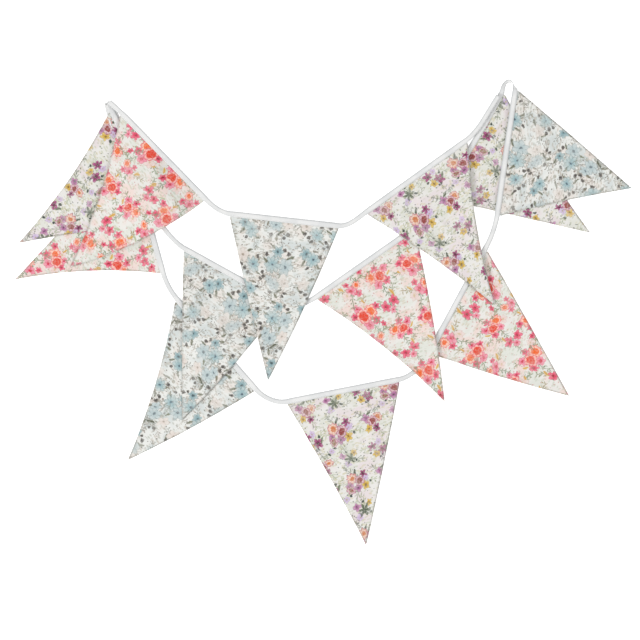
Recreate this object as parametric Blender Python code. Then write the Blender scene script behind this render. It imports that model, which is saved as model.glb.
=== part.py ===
# Fabric bunting: twelve double-layer cotton flags on one cotton heading tape, laid out flat
# in three swags between a left and a right peak, with flags and swags lapping over each other.
# Metres, +Z up. The origin is under the middle of the whole layout, on the surface it lies on.
import math
from collections import namedtuple

import bmesh
import bpy
import numpy as np

MM = 0.001

# Flags: printed cotton, two layers turned out and pressed flat
FLAG_THICK = 1.0 * MM
FLAG_STEPS = 14            # grid steps along the heading, and as many down to the tip

# Heading tape: a cotton strip folded over the top edges of the flags and stitched shut
TAPE_WIDE = 8.5 * MM
TAPE_PLY = 1.0 * MM
TAPE_PLAIN = 2.0 * MM      # thickness of the closed tape between two flags
TAPE_LIP = 2 / 3           # share of the plain tape's half thickness where its mouth closes
SLOT_DEEP = 7.0 * MM
TUCK = 6.6 * MM            # how far a flag's top edge reaches into the slot
END_PLAY = 0.5 * MM        # from a flag's corner to the end of its slot
PLAIN_STEP = 8.0 * MM      # spacing of the tape's sections between flags
BEND_STEP = 4.5 * MM       # and where it twists or folds
FOLD_RADIUS = 2.2 * MM     # of the tape's middle where it turns under itself
FOLD_PARTS = 4

# Clearances
LAYER_GAP = 0.3 * MM
EDGE_CLEAR = 2.0 * MM      # draped cloth keeps this far from the edges it falls over
GRID = 2.0 * MM            # spacing of the height grid that the layers are laid on
BED_HALF = (500 * MM, 400 * MM)              # the grid's reach from the origin
FLAG_COVER = 1.1 * FLAG_THICK                # height a flag takes up, on its slopes too
THIN_AREA = 0.01 * MM * MM                   # of a triangle that stands upright
FLAG_EDGE = 19.0 * MM      # longest edge in a flag's grid
FLAG_REACH = FLAG_EDGE + EDGE_CLEAR
TAPE_REACH = FLAG_REACH + TAPE_WIDE / 2 + EDGE_CLEAR
FLAG_EASE = 3              # rounds of easing that turn a flag's steps into soft slopes
TAPE_EASE = 4

TAPE_BOUND = 2 * TAPE_PLY + FLAG_THICK + 2 * LAYER_GAP

# Flags in their order along the tape, sizes in mm and angles in degrees. x and y are the middle
# of the heading, turn is the heading's direction along the tape, and lean is how far the tip
# lies along the heading from its middle. A bow is how far an edge curves out, or in if negative:
# of the first edge, of the second edge, and of the heading towards the tip.
Flag = namedtuple("Flag", "name x y turn width drop lean side bow_1 bow_2 bow_top")
LEFT, RIGHT = 1, -1
FLAGS = [
    Flag("flag_01_plum", 141, 200, -144.4, 183, 222, 16, LEFT, -7.5, -3.8, 0),
    Flag("flag_02_blue", -59, 134, 173.7, 163, 238, -2, LEFT, 3.0, 0.8, 0),
    Flag("flag_03_pink", -242, 230, 134.3, 178, 213, -20, LEFT, 10.5, -9.0, 0),
    Flag("flag_04_plum", -283, 220, -64.5, 174, 207, 30, RIGHT, -7.5, 0, 0),
    Flag("flag_05_blue", -136, 50, -29.1, 167, 223, 37, RIGHT, 0.8, 3.8, 0),
    Flag("flag_06_pink", 64, 70, 35.0, 178, 235, -21, RIGHT, -7.5, 3.8, 0),
    Flag("flag_07_plum", 223, 249, 58.4, 183, 219, -18, RIGHT, 0, -5.2, 3.8),
    Flag("flag_08_blue", 278, 238, -98.2, 188, 189.9, 25.5, LEFT, 0.8, -2.2, 0),
    Flag("flag_09_pink", 204, 14, -118.3, 174, 211, 45, LEFT, 0.8, 2.5, 0),
    Flag("flag_10_plum", 30, -122, -168.8, 170, 230, 11, LEFT, 1.5, -2.2, 0),
    Flag("flag_11_blue", -163, -52, 131.2, 178, 210, -42, LEFT, 3.0, -6.8, 0),
    Flag("flag_12_pink", -269, 145, 105.5, 179, 212, -41, LEFT, -8.2, 0, 0),
]
COLOURS = {
    "plum": (0.80, 0.70, 0.70),
    "blue": (0.70, 0.75, 0.74),
    "pink": (0.86, 0.66, 0.62),
    "tape": (0.88, 0.88, 0.86),
}

# The layers from the bottom up, by place in FLAGS. Each is laid with the tape before its flags.
LAYERS = [(8, 9, 10, 11), (3, 4, 5, 6), (7,), (0, 1, 2)]

FOLD_BEFORE, LOOP_BEFORE = 3, 7   # the flags, by place in FLAGS, that come after the two peaks

# Free tape away from the flags, in mm and degrees: the tape's middle, and the side that its
# folded edge faces. lift is the middle's height and tilt how steeply that side is turned up.
Bend = namedtuple("Bend", "x y lift facing tilt")
RIGHT_TAIL = [
    Bend(262, 324, 5.0, 152, 0),
    Bend(246, 298, 5.0, 149, 0),
    Bend(231, 275, 5.1, 142, 0),
]
LEFT_FOLD = Bend(-319.5, 313.5, 5.2, 42, 0)
RIGHT_LOOP = [
    Bend(269.5, 338, 3.4, 160, 32),
    Bend(273, 344, 4.2, 118, 48),
    Bend(278, 346.2, 4.2, 90, 48),
    Bend(283, 344, 4.8, 100, 74),
    Bend(285.4, 338, 4.9, 165, 56),
]
LEFT_TAIL = [
    Bend(-299, 260, 1.0, 17, 0),
    Bend(-309, 286, 1.0, 24, 0),
]


def clear_scene():
    for obj in list(bpy.data.objects):
        bpy.data.objects.remove(obj, do_unlink=True)


def fabric(name, colour):
    material = bpy.data.materials.new(name)
    material.use_nodes = True
    shader = material.node_tree.nodes["Principled BSDF"]
    shader.inputs["Base Color"].default_value = (*colour, 1)
    shader.inputs["Roughness"].default_value = 0.9
    shader.inputs["Metallic"].default_value = 0
    return material


def heading_of(degrees):
    return np.array((math.cos(math.radians(degrees)), math.sin(math.radians(degrees))))


def quarter_turn(vector):
    return np.array((-vector[1], vector[0]))


def bowed(start, end, bow, away, share):
    """The point at this share of the way along an edge that curves out by bow."""
    return start + (end - start) * share + away * bow * 4 * share * (1 - share)


class FlagPlan:
    """A flag's corners, tip and edges in plan."""

    def __init__(self, flag):
        self.flag = flag
        self.along = heading_of(flag.turn)
        self.down = quarter_turn(self.along) * flag.side
        middle = np.array((flag.x, flag.y)) * MM
        self.start = middle - self.along * flag.width * MM / 2
        self.end = middle + self.along * flag.width * MM / 2
        self.tip = middle + (self.along * flag.lean + self.down * flag.drop) * MM

    def heading(self, share):
        return bowed(self.start, self.end, self.flag.bow_top * MM, self.down, share)

    def out(self, share):
        """The level direction from the heading away from the flag."""
        slope = 4 * (1 - 2 * share) * self.flag.bow_top / self.flag.width
        along = self.along + self.down * slope
        away = -quarter_turn(along) * self.flag.side
        return away / np.linalg.norm(away)

    def edge(self, top, bow, share):
        """A point on the side edge that runs from a point of the heading to the tip."""
        run = self.tip - top
        away = quarter_turn(run) / np.linalg.norm(run)
        if np.dot(away, (self.start + self.end) / 2 - top) > 0:
            away = -away
        return bowed(top, self.tip, bow * MM, away, share)


class Section:
    """One section of the tape: its middle, the side its fold faces, and how it is shaped."""

    def __init__(self, middle, out, shape, level=True):
        self.middle = np.array((*middle, 0.0)[:3])
        self.out = np.array((*out, 0.0)[:3]) / np.linalg.norm(out)
        self.shape = shape
        self.level = level
        self.height = TAPE_PLAIN if shape == "plain" else TAPE_BOUND

    def base(self):
        return self.middle[2] - self.height / 2

    def set_base(self, base):
        self.middle[2] = base + self.height / 2

    def edge(self, side):
        """The middle of the fold (1) or of the open edge (-1)."""
        return self.middle + self.out * TAPE_WIDE / 2 * side


def bound_sections(plan):
    """The tape along a flag: an end wall, one section for each column of the flag, an end wall."""
    play = END_PLAY / (plan.flag.width * MM)
    sections = []
    for share in (-play, *np.linspace(0, 1, FLAG_STEPS + 1), 1 + play):
        out = plan.out(min(max(share, 0), 1))
        shape = "slot" if 0 <= share <= 1 else "wall"
        sections.append(Section(plan.heading(share) + out * TAPE_WIDE / 2, out, shape))
    return sections


def sections_between(before, after, lead_out, lead_in, step):
    """Plain tape on a smooth curve between two sections, along the leads at its two ends."""
    start, end = before.middle, after.middle
    span = np.linalg.norm(end - start)
    count = max(1, round(span / step))
    sections = []
    for t in np.linspace(0, 1, count + 1)[1:-1]:
        place = (
            start * (2 * t**3 - 3 * t**2 + 1)
            + lead_out * span * (t**3 - 2 * t**2 + t)
            + end * (3 * t**2 - 2 * t**3)
            + lead_in * span * (t**3 - t**2)
        )
        out = before.out * (1 - t) + after.out * t
        sections.append(Section(place, out, "plain", before.level and after.level))
    return sections


def in_space(level_vector):
    return np.array((*level_vector, 0.0))


def bend_section(bend):
    tilt = math.radians(bend.tilt)
    out = (*heading_of(bend.facing) * math.cos(tilt), math.sin(tilt))
    middle = np.array((bend.x, bend.y, bend.lift)) * MM
    return Section(middle, out, "plain", level=bend.tilt == 0)


def fold_sections(fold):
    """The half circle in which the tape turns down and back under itself."""
    centre = bend_section(fold)
    forth = in_space(quarter_turn(centre.out[:2]))
    sections = []
    for k in range(FOLD_PARTS + 1):
        angle = math.pi * (0.5 - k / FOLD_PARTS)
        round_off = forth * math.cos(angle) + np.array((0, 0, math.sin(angle)))
        sections.append(Section(centre.middle + round_off * FOLD_RADIUS, centre.out, "plain", False))
    return sections


def loose_sections(marks, before=None, after=None, lead_out=None, lead_in=None):
    """Plain tape through hand-placed marks, joined to the sections before and after them."""
    chain = [section for section in (before, *marks, after) if section is not None]
    leads = []
    for i in range(len(chain)):
        lead = chain[min(i + 1, len(chain) - 1)].middle - chain[max(i - 1, 0)].middle
        leads.append(lead / np.linalg.norm(lead))
    if before is not None:
        leads[0] = in_space(lead_out)
    if after is not None:
        leads[-1] = in_space(lead_in)
    sections = []
    for i in range(len(chain) - 1):
        sections.append(chain[i])
        sections += sections_between(chain[i], chain[i + 1], leads[i], leads[i + 1], BEND_STEP)
    sections.append(chain[-1])
    return [section for section in sections if section is not before and section is not after]


class Bed:
    """Height of all that is laid so far, on a square grid over the surface."""

    def __init__(self, half_x, half_y):
        self.half = np.array((half_x, half_y))
        self.top = np.zeros(tuple(int(n) for n in 2 * self.half / GRID + 1))

    def window(self, low, high):
        """The grid places between two corners, with the positions of their points."""
        first = np.maximum(np.floor((low + self.half) / GRID).astype(int), 0)
        last = np.minimum(np.ceil((high + self.half) / GRID).astype(int) + 1, self.top.shape)
        x = np.arange(first[0], last[0])[:, None] * GRID - self.half[0]
        y = np.arange(first[1], last[1])[None, :] * GRID - self.half[1]
        return (slice(first[0], last[0]), slice(first[1], last[1])), x, y

    def lay(self, a, b, c):
        """Raises the grid to a triangle, and to a little way past its edges."""
        corners = np.array((a, b, c))
        area = np.cross(corners[1, :2] - corners[0, :2], corners[2, :2] - corners[0, :2])
        if abs(area) < THIN_AREA:
            return
        cells, x, y = self.window(corners[:, :2].min(0) - GRID, corners[:, :2].max(0) + GRID)
        share_b = ((x - a[0]) * (c[1] - a[1]) - (y - a[1]) * (c[0] - a[0])) / area
        share_c = ((y - a[1]) * (b[0] - a[0]) - (x - a[0]) * (b[1] - a[1])) / area
        longest = max(np.linalg.norm(corners[i, :2] - corners[i - 1, :2]) for i in range(3))
        past = GRID * longest / abs(area)
        inside = (share_b >= -past) & (share_c >= -past) & (share_b + share_c <= 1 + past)
        height = a[2] + share_b * (b[2] - a[2]) + share_c * (c[2] - a[2])
        height = np.clip(height, corners[:, 2].min(), corners[:, 2].max())
        self.top[cells] = np.where(inside, np.maximum(self.top[cells], height), self.top[cells])

    def rest(self, place, reach):
        """The height at which cloth clears everything within reach of a place."""
        cells, x, y = self.window(place[:2] - reach, place[:2] + reach)
        near = (x - place[0]) ** 2 + (y - place[1]) ** 2 <= reach**2
        highest = self.top[cells][near].max()
        return highest + LAYER_GAP if highest > 0 else 0.0


class FlagSheet:
    """A flag's grid: a row tucked into the tape, a row at its mouth, and rows down to the tip."""

    def __init__(self, plan, sections):
        self.rows = []
        columns = [s for s in sections if s.shape == "slot"]
        self.rows.append([s.edge(-1) + s.out * TUCK for s in columns])
        mouth = [s.edge(-1) - s.out * EDGE_CLEAR for s in columns]
        self.rows.append(mouth)
        for row in self.rows:
            for point, section in zip(row, columns):
                point[2] = section.base() + TAPE_PLY + LAYER_GAP
        for k in range(1, FLAG_STEPS + 1):
            first = plan.edge(mouth[0][:2], plan.flag.bow_1, k / FLAG_STEPS)
            last = plan.edge(mouth[-1][:2], plan.flag.bow_2, k / FLAG_STEPS)
            steps = FLAG_STEPS - k
            row = [first + (last - first) * (i / steps if steps else 0) for i in range(steps + 1)]
            self.rows.append([np.array((*point, 0.0)) for point in row])

    def drape(self, bed):
        """Lets the free rows down onto the bed, with soft slopes instead of steps."""
        floor = [[bed.rest(point, FLAG_REACH) for point in row] for row in self.rows]
        for row, heights in zip(self.rows[2:], floor[2:]):
            for point, height in zip(row, heights):
                point[2] = height
        for _ in range(FLAG_EASE):
            for k in range(2, len(self.rows)):
                for i, point in enumerate(self.rows[k]):
                    around = [p[2] for p in self.rows[k - 1][i : i + 2]]
                    around += [p[2] for p in self.rows[k][max(i - 1, 0) : i + 2]]
                    if k + 1 < len(self.rows):
                        around += [p[2] for p in self.rows[k + 1][max(i - 1, 0) : i + 1]]
                    eased = (point[2] + sum(around) / len(around)) / 2
                    point[2] = max(floor[k][i], eased if eased > LAYER_GAP else 0.0)

    def faces(self):
        """Triangles as places in the rows, each turned the same way."""
        top = self.rows[0]
        for i in range(len(top) - 1):
            yield (0, i), (1, i), (0, i + 1)
            yield (0, i + 1), (1, i), (1, i + 1)
        for k in range(1, len(self.rows) - 1):
            width = len(self.rows[k])
            for i in range(width - 1):
                yield (k, i), (k + 1, i), (k, i + 1)
                if i < width - 2:
                    yield (k, i + 1), (k + 1, i), (k + 1, i + 1)

    def lay_on(self, bed):
        thick = np.array((0, 0, FLAG_COVER))
        for face in self.faces():
            bed.lay(*(self.rows[k][i] + thick for k, i in face))


def make_flag(flag, sheet, material):
    mesh = bpy.data.meshes.new(flag.name)
    shape = bmesh.new()
    points = [[shape.verts.new(p) for p in row] for row in sheet.rows]
    for face in sheet.faces():
        shape.faces.new([points[k][i] for k, i in face])
    shape.normal_update()
    if sum(face.normal.z for face in shape.faces) < 0:
        bmesh.ops.reverse_faces(shape, faces=shape.faces)
    shape.to_mesh(mesh)
    shape.free()
    mesh.materials.append(material)
    mesh.shade_smooth()
    obj = bpy.data.objects.new(flag.name, mesh)
    bpy.context.scene.collection.objects.link(obj)
    plies = obj.modifiers.new("two plies", "SOLIDIFY")
    plies.thickness = FLAG_THICK
    plies.offset = 1
    return obj


def tape_ring(section, up):
    """Corner points of a section, from the open edge's bottom round to the fold and back."""
    half_wide, half_high = TAPE_WIDE / 2, section.height / 2
    slot = FLAG_THICK / 2 + LAYER_GAP
    lip = min(slot, half_high * TAPE_LIP)
    corners = [
        (half_wide, -half_high), (-half_wide, -half_high), (-half_wide, -lip),
        (-half_wide, lip), (-half_wide, half_high), (half_wide, half_high),
    ]
    if section.shape != "plain":
        deep = SLOT_DEEP - half_wide
        corners[3:3] = [(deep, -slot), (deep, slot)]
    return [section.middle + section.out * u + up * v for u, v in corners]


def section_up(sections, i):
    """The direction that a section's upper face looks in; a fold or a twist turns it over."""
    ahead = sections[min(i + 1, len(sections) - 1)].middle
    behind = sections[max(i - 1, 0)].middle
    up = np.cross(sections[i].out, ahead - behind)
    if sections[i].level:
        up[:2] = 0
    return up / np.linalg.norm(up)


def skin(shape, ring_a, ring_b):
    """Joins two rings with the same number of points."""
    count = len(ring_a)
    for j in range(count):
        k = (j + 1) % count
        shape.faces.new((ring_a[j], ring_a[k], ring_b[k], ring_b[j]))


def without_slot(ring):
    return ring if len(ring) == 6 else ring[:3] + ring[5:]


def make_tape(sections, material):
    mesh = bpy.data.meshes.new("heading_tape")
    shape = bmesh.new()
    rings = []
    for i, section in enumerate(sections):
        corners = tape_ring(section, section_up(sections, i))
        rings.append([shape.verts.new(corner) for corner in corners])
    for i in range(len(rings) - 1):
        here, after = sections[i].shape, sections[i + 1].shape
        if here == "plain" or after == "plain":
            skin(shape, without_slot(rings[i]), without_slot(rings[i + 1]))
        else:
            skin(shape, rings[i], rings[i + 1])
    for section, ring in zip(sections, rings):
        if section.shape == "wall":
            shape.faces.new(ring[2:6])
    shape.faces.new(rings[0])
    shape.faces.new(rings[-1])
    bmesh.ops.recalc_face_normals(shape, faces=shape.faces)
    bmesh.ops.triangulate(shape, faces=shape.faces)
    shape.to_mesh(mesh)
    shape.free()
    mesh.materials.append(material)
    obj = bpy.data.objects.new("heading_tape", mesh)
    bpy.context.scene.collection.objects.link(obj)
    return obj


def lay_tape(bed, run):
    """Raises the bed to a run of tape sections."""
    for here, after in zip(run, run[1:]):
        corners = []
        for section in (here, after):
            for side in (1, -1):
                point = section.edge(side).copy()
                point[2] += section.height / 2
                corners.append(point)
        bed.lay(corners[0], corners[1], corners[2])
        bed.lay(corners[1], corners[2], corners[3])


def settle_tape(bed, run):
    """Sets the heights of a run of sections from the bed, with soft slopes instead of steps."""
    floor = [bed.rest(section.middle, TAPE_REACH) for section in run]
    heights = list(floor)
    for _ in range(TAPE_EASE):
        for i in range(len(run)):
            around = (heights[max(i - 1, 0)] + heights[min(i + 1, len(run) - 1)]) / 2
            eased = (heights[i] + around) / 2
            heights[i] = max(floor[i], eased if eased > LAYER_GAP else 0.0)
    for section, height in zip(run, heights):
        section.set_base(height)


def build():
    clear_scene()
    plans = [FlagPlan(flag) for flag in FLAGS]
    leads = [in_space(plan.along) for plan in plans]
    bound = [bound_sections(plan) for plan in plans]
    plain = [[]]
    for i in range(1, len(FLAGS)):
        plain.append(
            sections_between(bound[i - 1][-1], bound[i][0], leads[i - 1], leads[i], PLAIN_STEP)
        )
    plain[FOLD_BEFORE] = []
    plain[LOOP_BEFORE] = []
    left_tail = loose_sections(
        [bend_section(bend) for bend in LEFT_TAIL], before=bound[-1][-1], lead_out=plans[-1].along
    )

    bed = Bed(*BED_HALF)
    sheets = {}
    for layer in LAYERS:
        run = []
        for i in layer:
            run += plain[i] + bound[i]
        if layer[-1] == len(FLAGS) - 1:
            run += left_tail
        settle_tape(bed, run)
        for i in layer:
            sheets[i] = FlagSheet(plans[i], bound[i])
            sheets[i].drape(bed)
        for i in layer:
            sheets[i].lay_on(bed)
        lay_tape(bed, run)

    def peak(marks, i):
        return loose_sections(marks, bound[i - 1][-1], bound[i][0], plans[i - 1].along, plans[i].along)

    plain[FOLD_BEFORE] = peak(fold_sections(LEFT_FOLD), FOLD_BEFORE)
    plain[LOOP_BEFORE] = peak([bend_section(bend) for bend in RIGHT_LOOP], LOOP_BEFORE)
    plain[0] = loose_sections(
        [bend_section(bend) for bend in RIGHT_TAIL], after=bound[0][0], lead_in=plans[0].along
    )
    tape = []
    for before, along in zip(plain, bound):
        tape += before + along
    tape += left_tail
    materials = {name: fabric(f"{name}_cotton", colour) for name, colour in COLOURS.items()}
    for i, flag in enumerate(FLAGS):
        make_flag(flag, sheets[i], materials[flag.name.split("_")[-1]])
    make_tape(tape, materials["tape"])


build()
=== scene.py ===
import math

import bpy
import numpy as np
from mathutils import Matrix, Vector, noise
from mathutils.bvhtree import BVHTree


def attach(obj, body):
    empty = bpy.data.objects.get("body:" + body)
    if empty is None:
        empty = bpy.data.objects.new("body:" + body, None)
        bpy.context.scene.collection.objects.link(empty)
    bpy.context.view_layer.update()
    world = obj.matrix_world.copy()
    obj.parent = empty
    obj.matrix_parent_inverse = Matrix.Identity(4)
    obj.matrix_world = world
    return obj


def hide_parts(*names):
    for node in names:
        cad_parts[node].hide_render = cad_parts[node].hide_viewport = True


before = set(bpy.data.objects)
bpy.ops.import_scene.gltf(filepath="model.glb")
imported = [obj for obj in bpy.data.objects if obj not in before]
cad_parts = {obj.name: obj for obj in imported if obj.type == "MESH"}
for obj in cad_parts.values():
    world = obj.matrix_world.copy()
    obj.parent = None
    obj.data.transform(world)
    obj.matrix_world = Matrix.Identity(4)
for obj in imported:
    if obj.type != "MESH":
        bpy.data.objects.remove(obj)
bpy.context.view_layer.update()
bpy.ops.object.select_all(action="DESELECT")
mm = 0.001

# Twelve triangular flags on one folded tape, laid flat
flagNames = sorted(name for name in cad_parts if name.startswith("flag"))

flagCut = {
    "steps": 60,            # grid steps along the heading and down to the tip
    "thick": 0.55 * mm,     # two layers of cotton
    "seam": 0.22 * mm,      # added along the two long edges, where the allowances lie inside
    "seamWide": 5.5 * mm,
    "tuck": 6.6 * mm,       # held inside the tape
    "mouth": 2.0 * mm,      # from the tape's edge to where the sides start to slope
    "smooth": 6,            # passes that soften the steps over what lies below
    "wander": 0.35 * mm,    # of the long edges
    "room": 0.12 * mm,      # kept from the cloth above and below
    "solidHalf": 0.5 * mm,  # half of the solid flag's thickness
    "sink": 0.3 * mm,       # most that the smoothing lowers it
    "hold": 28 * mm,        # how far down the tape holds it flat
    "rimRound": 0.8 * mm,
    "rimEdge": 0.12,        # squared share of its thickness at the very rim
}

# Small relief all over a flag: height, and turns in a metre across and down or reach
flagRelief = {
    "wave": (0.4 * mm, 14, 14),
    "crumple": (0.5 * mm, 34, 26),
    "curl": (0.8 * mm, 9 * mm),             # of the long edges
    "pucker": (0.12 * mm, 9 * mm, 14 * mm),  # height, pitch, reach below the tape
    "wander": (35, 6 * mm),                 # of the long edges: turns in a metre, reach
}

# What each flag does beyond lying flat: soft ridges as (across, down, turn, length, width, height),
# places as shares of the heading and the drop, turn in degrees from the heading, sizes in mm
flagFolds = {
    "flag_01_plum": [
        (0.28, 0.26, 66, 110, 22, 1.5), (0.56, 0.34, 96, 130, 18, 1.3),
        (0.76, 0.22, 118, 70, 16, 0.9),
    ],
    "flag_02_blue": [(0.34, 0.35, 80, 130, 20, 1.3), (0.66, 0.28, 104, 90, 16, 1.0)],
    "flag_03_pink": [
        (0.30, 0.26, 70, 110, 20, 1.5), (0.55, 0.42, 92, 140, 18, 1.1),
        (0.80, 0.20, 115, 60, 14, 0.8),
    ],
    "flag_04_plum": [(0.40, 0.30, 80, 110, 24, 0.7), (0.60, 0.50, 100, 90, 20, 0.6)],
    "flag_05_blue": [(0.30, 0.35, 80, 110, 24, 0.8), (0.55, 0.40, 105, 100, 22, 0.7)],
    "flag_06_pink": [(0.40, 0.30, 75, 110, 24, 0.9), (0.65, 0.40, 95, 110, 20, 0.7)],
    "flag_07_plum": [(0.35, 0.35, 85, 110, 22, 0.6), (0.60, 0.35, 100, 90, 20, 0.6)],
    "flag_08_blue": [(0.40, 0.30, 75, 110, 26, 0.9), (0.60, 0.50, 95, 90, 20, 0.7)],
    "flag_09_pink": [(0.45, 0.35, 80, 120, 24, 0.8), (0.60, 0.55, 100, 90, 22, 0.7)],
    "flag_10_plum": [
        (0.30, 0.26, 80, 110, 22, 1.2), (0.60, 0.40, 97, 120, 18, 1.1),
        (0.80, 0.16, 120, 50, 14, 0.6),
    ],
    "flag_11_blue": [(0.40, 0.30, 75, 110, 24, 0.8), (0.60, 0.50, 95, 100, 22, 0.7)],
    "flag_12_pink": [(0.45, 0.35, 80, 110, 24, 0.7), (0.60, 0.50, 100, 90, 20, 0.6)],
}

tapeCut = {
    "wide": 8.5 * mm,       # folded
    "ply": 0.42 * mm,
    "step": 3.5 * mm,       # between sections
    "bendStep": 1.5 * mm,
    "slot": 1.8 * mm,       # from the bottom of the solid tape to the middle of its slot
    "solid": 1.0 * mm,      # half of the solid tape's height between flags
    "seat": 0.02 * mm,
    "bare": 0.86,           # share of its width that it keeps where no flag is held
    "closed": 0.08 * mm,    # gap between the plies there
    "open": 0.82 * mm,
    "ripple": 0.10 * mm,
    "level": 0.05,          # sine of the tilt that still counts as level
}

# The tape away from the flags: middle x and y, height, the side that its fold faces and how far
# that side is turned up, in mm and degrees
tapeRoute = {
    "rightTail": [(262, 324, 5.0, 152, 0), (246, 298, 5.0, 149, 0), (231, 275, 5.1, 142, 0)],
    "leftFold": (-319.5, 313.5, 5.2, 42, 0),
    "foldRadius": 2.2,
    "foldParts": 6,
    "rightLoop": [
        (269.5, 338, 3.4, 160, 32),
        (273, 344, 4.2, 118, 48),
        (278, 346.2, 4.2, 90, 48),
        (283, 344, 4.8, 100, 74),
        (285.4, 338, 4.9, 165, 56),
    ],
    "leftTail": [(-299, 260, 1.0, 17, 0), (-309, 286, 1.0, 24, 0)],
}

stitchCut = {
    "pitch": 3.4 * mm,
    "length": 2.5 * mm,
    "thick": 0.34 * mm,
    "fromEdge": 1.5 * mm,
    "furrow": 0.325,        # how far their line, and the painted shade along it, is from the middle, as a share of the tape
    "sunk": 0.3,            # share of a stitch's thickness below the tape's face
}


def solidPoints(name):
    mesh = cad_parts[name].data
    return np.array([v.co[:] for v in mesh.vertices])


def solidTree(names):
    points, faces = [], []
    for name in names:
        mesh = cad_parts[name].data
        first = len(points)
        points += [v.co.copy() for v in mesh.vertices]
        faces += [[first + i for i in p.vertices] for p in mesh.polygons]
    return BVHTree.FromPolygons(points, faces)


def layersAt(tree, x, y):
    # (bottom, top) of each layer of a solid at this place, from the top down
    heights = []
    z = 0.1
    while True:
        hit = tree.ray_cast(Vector((x, y, z)), Vector((0, 0, -1)))[0]
        if hit is None:
            break
        heights.append(hit.z)
        z = hit.z - 1e-6
    return [(heights[i + 1], heights[i]) for i in range(0, len(heights) - 1, 2)]


def unit(vector):
    return vector / np.linalg.norm(vector)


def leftOf(vector):
    return np.array((-vector[1], vector[0]))


def bowOf(lines, a, b, inner):
    # How far the outline curves out from the chord a-b, at its middle
    run = b - a
    away = unit(leftOf(run))
    if np.dot(away, inner - a) > 0:
        away = -away
    shares = (lines - a) @ run / (run @ run)
    prouds = (lines - a) @ away
    bows = []
    for share in np.linspace(0.2, 0.8, 7):
        t = (share - shares[:, 0]) / (shares[:, 1] - shares[:, 0] + 1e-12)
        crossing = (t >= 0) & (t <= 1)
        proud = (prouds[:, 0] + (prouds[:, 1] - prouds[:, 0]) * t)[crossing].max()
        bows.append(proud / (4 * share * (1 - share)))
    return float(np.median(bows)), away


class Flag:
    # A flag's outline, read from its solid
    def __init__(self, name, before):
        self.name = name
        points = solidPoints(name)
        plan = points[:, :2]
        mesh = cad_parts[name].data
        self.lines = plan[np.array([edge.vertices[:] for edge in mesh.edges])]
        first = np.argmax(np.linalg.norm(plan - plan.mean(0), axis=1))
        second = np.argmax(np.linalg.norm(plan - plan[first], axis=1))
        side = unit(leftOf(plan[second] - plan[first]))
        third = np.argmax(np.abs((plan - plan[first]) @ side))
        corners = sorted(
            (first, second, third), key=lambda n: tapeTree.find_nearest(Vector(points[n]))[3]
        )
        self.tip = plan[corners[2]]
        self.corners = [plan[corners[0]], plan[corners[1]]]
        if before is not None:
            self.corners.sort(key=lambda corner: np.linalg.norm(corner - before))

    def lay(self):
        a, b = self.corners
        self.width = np.linalg.norm(b - a)
        self.along = (b - a) / self.width
        self.down = leftOf(self.along)
        if np.dot(self.down, self.tip - a) < 0:
            self.down = -self.down
        self.start = a + self.down * flagCut["tuck"]
        self.end = b + self.down * flagCut["tuck"]
        self.drop = np.dot(self.tip - self.start, self.down)
        self.topBow = bowOf(self.lines, a, b, self.tip)[0]
        lift = self.down * flagCut["mouth"]
        self.sides = []
        for corner, other in ((self.start + lift, self.end), (self.end + lift, self.start)):
            bow, away = bowOf(self.lines, corner, self.tip, other)
            self.sides.append((corner, bow, away))

    def heading(self, share):
        point = self.start + (self.end - self.start) * share
        return point - self.down * self.topBow * 4 * share * (1 - share)

    def out(self, share):
        slope = -4 * (1 - 2 * share) * self.topBow / self.width
        return -unit(self.down - self.along * slope)

    def edge(self, which, share):
        corner, bow, away = self.sides[which]
        return corner + (self.tip - corner) * share + away * bow * 4 * share * (1 - share)


tapeTree = solidTree(["heading_tape"])
flags = []
for name in flagNames:
    before = None if not flags else sum(flags[-1].corners) / 2
    flags.append(Flag(name, before))
nextMiddle = sum(flags[1].corners) / 2
flags[0].corners.sort(key=lambda c: -np.linalg.norm(c - nextMiddle))
for flag in flags:
    flag.lay()
    print(f"outline of {flag.name}: {flag.width * 1000:.0f} x {flag.drop * 1000:.0f} mm")


def flagRows(flag):
    # Rows of points from the top edge, tucked into the tape, down to the tip
    steps = flagCut["steps"]
    shares = np.linspace(0, 1, steps + 1)
    rows = []
    for depth in (-flagCut["tuck"], -flagCut["tuck"] / 2, 0.0, flagCut["mouth"]):
        rows.append([flag.heading(s) + flag.down * depth for s in shares])
    for k in range(1, steps + 1):
        first = flag.edge(0, k / steps)
        last = flag.edge(1, k / steps)
        count = steps - k
        row = [first + (last - first) * (i / count if count else 0) for i in range(count + 1)]
        sag = max(0, 1 - k / (0.2 * steps))
        shape = [4 * (i / count) * (1 - i / count) if count else 0 for i in range(count + 1)]
        rows.append([p - flag.down * flag.topBow * sag * w for p, w in zip(row, shape)])
    return rows


def rowFaces(rows):
    for k in range(len(rows) - 1):
        here, below = len(rows[k]), len(rows[k + 1])
        if here == below:
            for i in range(here - 1):
                yield (k, i), (k + 1, i), (k + 1, i + 1), (k, i + 1)
        else:
            for i in range(here - 1):
                yield (k, i), (k + 1, i), (k, i + 1)
                if i < here - 2:
                    yield (k, i + 1), (k + 1, i), (k + 1, i + 1)


def rimOf(rows):
    # The outline's places in the rows, once round
    left = [(k, 0) for k in range(len(rows))]
    right = [(k, len(rows[k]) - 1) for k in range(len(rows) - 2, -1, -1)]
    top = [(0, i) for i in range(len(rows[0]) - 2, 0, -1)]
    return left + right + top


def edgeDistance(flag, point):
    # From a long edge, and the place along it
    best = (1.0, 0.0)
    for corner, bow, away in flag.sides:
        run = flag.tip - corner
        share = min(max(np.dot(point - corner, run) / np.dot(run, run), 0), 1)
        inside = -np.dot(point - corner, away) + bow * 4 * share * (1 - share)
        best = min(best, (max(inside, 0.0), share * np.linalg.norm(run)))
    return best


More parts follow.
